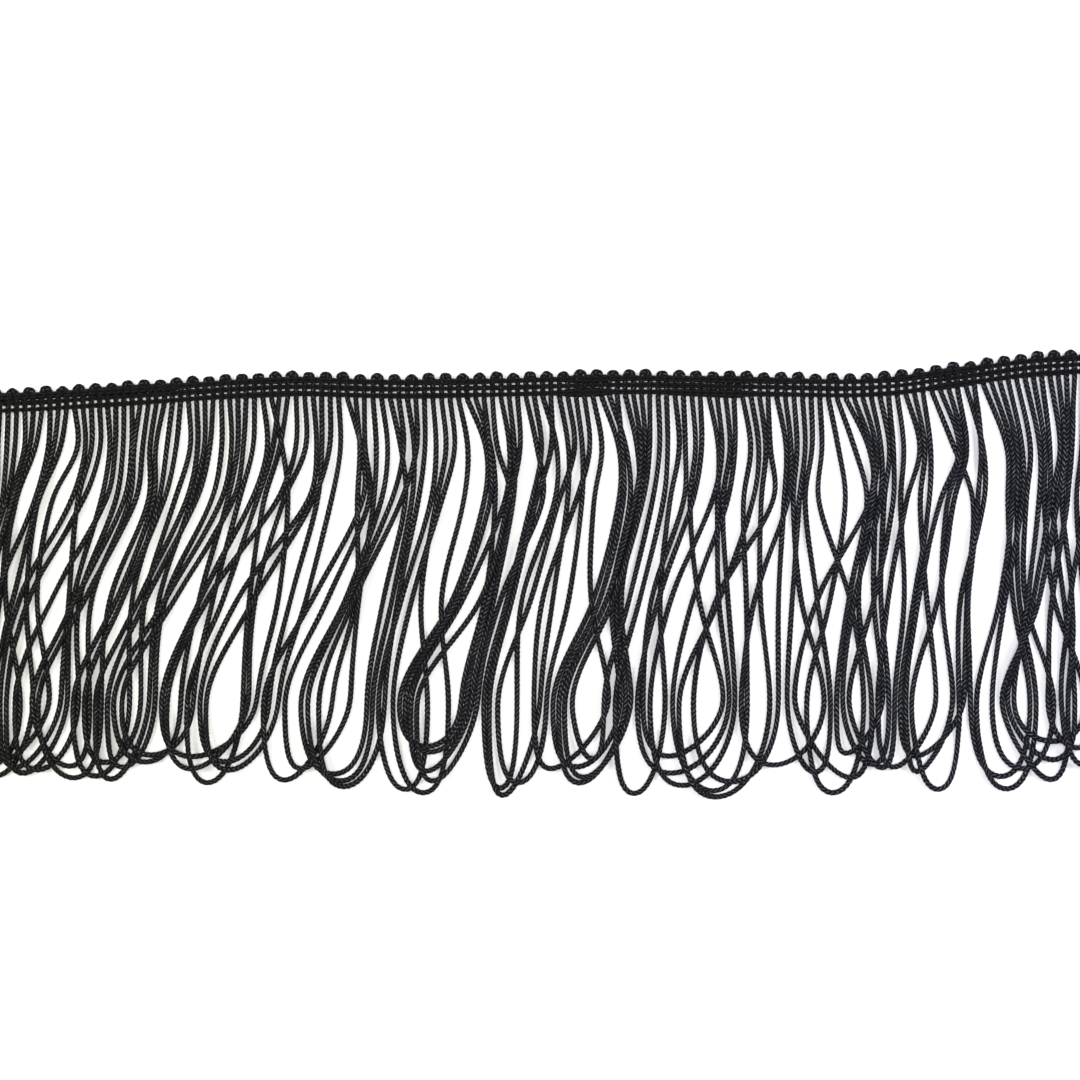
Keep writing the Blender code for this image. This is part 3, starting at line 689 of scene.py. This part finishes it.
def loop_route(index):
    """Plan of one loop in millimetres, left leg first, with its corners eased."""
    *levels, foot, foot_drop = LOOP_TABLE[index]
    left_x = levels[0::2]
    right_x = levels[1::2]
    root_left = slipped(LOOP_PITCH * index + 0.5 * STITCH_PITCH)
    root_right = slipped(LOOP_PITCH * index + 1.5 * STITCH_PITCH)
    lowest = foot_drop + BOW_ALLOWANCE
    left = leg_route(root_left, left_x) + bow_route(left_x[-1], right_x[-1], foot, lowest)
    right = leg_route(root_right, right_x) + bow_route(right_x[-1], left_x[-1], foot, lowest)
    plan = evenly(left + right[-2::-1], ROUTE_STEP)
    for _ in range(ROUTE_ROUNDS):
        plan[2:-2] = eased(plan[1:-1])
    plan[:, 1] *= -1.0
    return plan


def lay_over(plan, laid):
    """Heights along a loop that clear every loop under it and fall away gently."""
    need = np.full(len(plan), CORD_BASE)
    for under in laid:
        apart = np.hypot(plan[:, None, 0] - under[None, :, 0],
                         plan[:, None, 1] - under[None, :, 1])
        over = np.where(apart < REACH, under[None, :, 2] + LIFT, 0.0)
        need = np.maximum(need, over.max(axis=1))
    along = ROUTE_STEP * np.arange(len(plan))
    heights = (need[None, :] - FALL * np.abs(along[:, None] - along[None, :])).max(axis=1)
    heights = np.maximum(heights, CORD_BASE)
    for _ in range(SETTLE_ROUNDS):
        heights[1:-1] = eased(heights)
        heights = np.maximum(heights, need)
    heights[0] = HEADING_LEVEL
    heights[-1] = HEADING_LEVEL
    return heights


def lay_loops():
    """Routes of all the loops, laid from the left, in millimetres from the datum."""
    laid = []
    for index in range(LOOP_COUNT):
        plan = loop_route(index)
        laid.append(np.column_stack((plan, lay_over(plan, laid))))
    return laid


def make_loops(straight, finish):
    """The loops as chainette cord, joined eleven to a piece."""
    batch = []
    for index, route in enumerate(lay_loops()):
        points = np.array([place(*row) for row in evenly(route, CORD_STEP)])
        turn = 2 * math.pi * route_length(points) / (CORD_TURN * MM)
        batch.append(cord_along(straight, points, "loop", LOOP_TWIST * index, turn))
        if len(batch) == LOOPS_PER_PIECE:
            number = index // LOOPS_PER_PIECE + 1
            finish_piece(join(batch, f"loops_{number}"), finish, "fringe_row")
            batch = []


# Heading

def picot_route(index):
    """The cord up through the heading, round a picot, and down again."""
    centre_x = slipped(index * LOOP_PITCH)
    half = 0.5 * STITCH_PITCH
    rise = PICOT_RISES[index % len(PICOT_RISES)]
    rows = [(-half, height, 1.0) for height in ROW_HEIGHTS.values()]
    for step in range(PICOT_STEPS + 1):
        angle = math.pi * (1 - step / PICOT_STEPS)
        height = PICOT_CENTRE + rise + PICOT_RADIUS * math.sin(angle)
        rows.append((PICOT_RADIUS * math.cos(angle), height, PICOT_SWELL))
    rows += [(-x, height, swell) for x, height, swell in rows[2::-1]]
    rows = evenly(rows, PICOT_STEP)
    inside = (rows[:, 0] + centre_x >= 0.0) & (rows[:, 0] + centre_x <= LENGTH)
    rows = rows[inside]
    route = []
    for x, height, _ in rows:
        along = centre_x + x
        route.append(place(along, height - edge_drop(along), HEADING_LEVEL))
    return np.array(route), rows[:, 2]


def picot_core(index):
    """The filled middle of a picot: a flattened ball of cord."""
    along = slipped(index * LOOP_PITCH)
    height = PICOT_CENTRE + PICOT_RISES[index % len(PICOT_RISES)] + CORE_RISE
    deselect_all()
    bpy.ops.mesh.primitive_uv_sphere_add(
        segments=16, ring_count=8, radius=CORE_RADIUS * MM,
        location=place(along, height - edge_drop(along), HEADING_LEVEL))
    core = bpy.context.object
    core.scale.z = CORE_THICK
    bpy.ops.object.transform_apply(location=True, rotation=True, scale=True)
    bpy.ops.object.shade_smooth()
    return core


def make_picots(straight, finish):
    """The cord's run through the heading and round each picot, and the picots' middles."""
    turns = []
    for index in range(LOOP_COUNT + 1):
        points, radii = picot_route(index)
        turns.append(cord_along(straight, points, "picot", PICOT_TWIST * index, radii=radii))
        if 0 < index < LOOP_COUNT:
            turns.append(picot_core(index))
    finish_piece(join(turns, "picots"), finish, "picot_row")


def chain_stitch():
    """One chain stitch of the heading over a cord at x 0."""
    rows = list(STITCH_HALF) + [(x, -half, height) for x, half, height in STITCH_HALF[-2:0:-1]]
    points = [Vector(row) * MM for row in rows]
    return as_mesh(
        route_curve(points, "chain_stitch", cyclic=True, bevel=YARN_RADIUS * MM, sides=1))


def inlay():
    """The thread laid into a row at y 0: under each cord, and up between the cords."""
    count = round(LENGTH / STITCH_PITCH) * INLAY_STEPS
    points = []
    for step in range(count + 1):
        x = LENGTH * step / count
        wave = math.cos(2 * math.pi * (x / STITCH_PITCH - 0.5))
        points.append(Vector((x, 0.0, INLAY_LEVEL - INLAY_WAVE * wave)) * MM)
    return as_mesh(route_curve(points, "inlay", bevel=INLAY_RADIUS * MM, sides=1))


def row_spread(name, x):
    """How far each stitch of a row spreads across it: one value for a whole stitch."""
    places, low, top = zip(*SPREAD_TABLE)
    spreads = {"low": low, "middle": [1.0] * len(places), "top": top}[name]
    number = math.floor(x / STITCH_PITCH)
    wave = math.sin(JITTER_PER_STITCH * number + JITTER_PER_ROW * ROW_HEIGHTS[name])
    spread = float(np.interp((number + 0.5) * STITCH_PITCH, places, spreads))
    return spread + SPREAD_JITTER * wave


def lay_in_row(piece, name, gain):
    """Moves a straight part of a row into its place and spreads it across the row."""
    for point in piece.data.vertices:
        along = point.co.x / MM
        spread = max(LEAST_SPREAD, 1.0 + gain * (row_spread(name, along) - 1.0))
        height = ROW_HEIGHTS[name] - edge_drop(along) + point.co.y / MM * spread
        point.co = place(along, height, point.co.z / MM)
    return piece


def make_chain_row(name, finish, node):
    """One row of the heading: its chain stitches and the thread laid into them."""
    stitches = chain_stitch()
    repeat_along(stitches, round(LENGTH / STITCH_PITCH), STITCH_PITCH)
    apply_modifiers(stitches)
    pick_points(stitches, lambda co: True)
    bpy.ops.transform.translate(value=(0.5 * STITCH_PITCH * MM, 0.0, 0.0))
    stop_editing()
    parts = [lay_in_row(stitches, name, 1.0), lay_in_row(inlay(), name, INLAY_GAIN)]
    row = join(parts, f"chain_row_{name}")
    choose(row)
    bpy.ops.object.shade_smooth()
    finish_piece(row, finish, node)


def finish_piece(piece, finish, node):
    """Gives a piece its material, hides the CAD part that it stands in for, and rides it on the
    trim.
    """
    piece.data.materials.clear()
    piece.data.materials.append(finish)
    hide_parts(node)
    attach(piece, "root")


# Stage

def make_floor(finish):
    """The surface that the trim lies on."""
    deselect_all()
    bpy.ops.mesh.primitive_grid_add(
        x_subdivisions=4, y_subdivisions=4, size=FLOOR_WIDTH, location=(0.0, 0.0, 0.0))
    floor = bpy.context.object
    floor.name = "floor"
    floor.data.materials.append(finish)


def add_softbox(name, spot, size, power, colour):
    """A round soft box that faces the middle of the trim."""
    light = bpy.data.lights.new(name, "AREA")
    light.shape = "DISK"
    light.size = size
    light.energy = power
    light.color = colour
    lamp = bpy.data.objects.new(name, light)
    lamp.location = spot
    lamp.rotation_euler = (-Vector(spot)).to_track_quat("-Z", "Y").to_euler()
    bpy.context.scene.collection.objects.link(lamp)


def light_stage():
    """Even light all round, one soft box overhead and a warm and a cool one at the sides."""
    world = bpy.data.worlds.new("studio")
    world.use_nodes = True
    surround = world.node_tree.nodes["Background"]
    surround.inputs["Color"].default_value = (1.0, 1.0, 1.0, 1.0)
    surround.inputs["Strength"].default_value = SURROUND_STRENGTH
    bpy.context.scene.world = world
    for name, settings in SOFTBOXES.items():
        add_softbox(name, *settings)
    bpy.context.scene.view_settings.view_transform = "Standard"


def place_camera():
    """A camera straight above, at the height where its lens takes in the view's width."""
    camera = bpy.data.cameras.new("camera")
    camera.lens = LENS
    camera.sensor_width = SENSOR
    camera.clip_end = 20.0
    height = VIEW_WIDTH * LENS / SENSOR
    viewer = bpy.data.objects.new("camera", camera)
    viewer.location = place(*VIEW_CENTRE, height)
    bpy.context.scene.collection.objects.link(viewer)
    bpy.context.scene.camera = viewer


def main():
    place_camera()
    light_stage()
    make_floor(pale_board())
    chainette = viscose_chainette()
    yarn = stitching_yarn()
    straight = straight_cord(STRAIGHT_LENGTH)
    make_loops(straight, chainette)
    make_picots(straight, chainette)
    remove(straight)
    make_chain_row("low", yarn, "fringe_row")
    make_chain_row("middle", yarn, "middle_row")
    make_chain_row("top", yarn, "picot_row")


main()
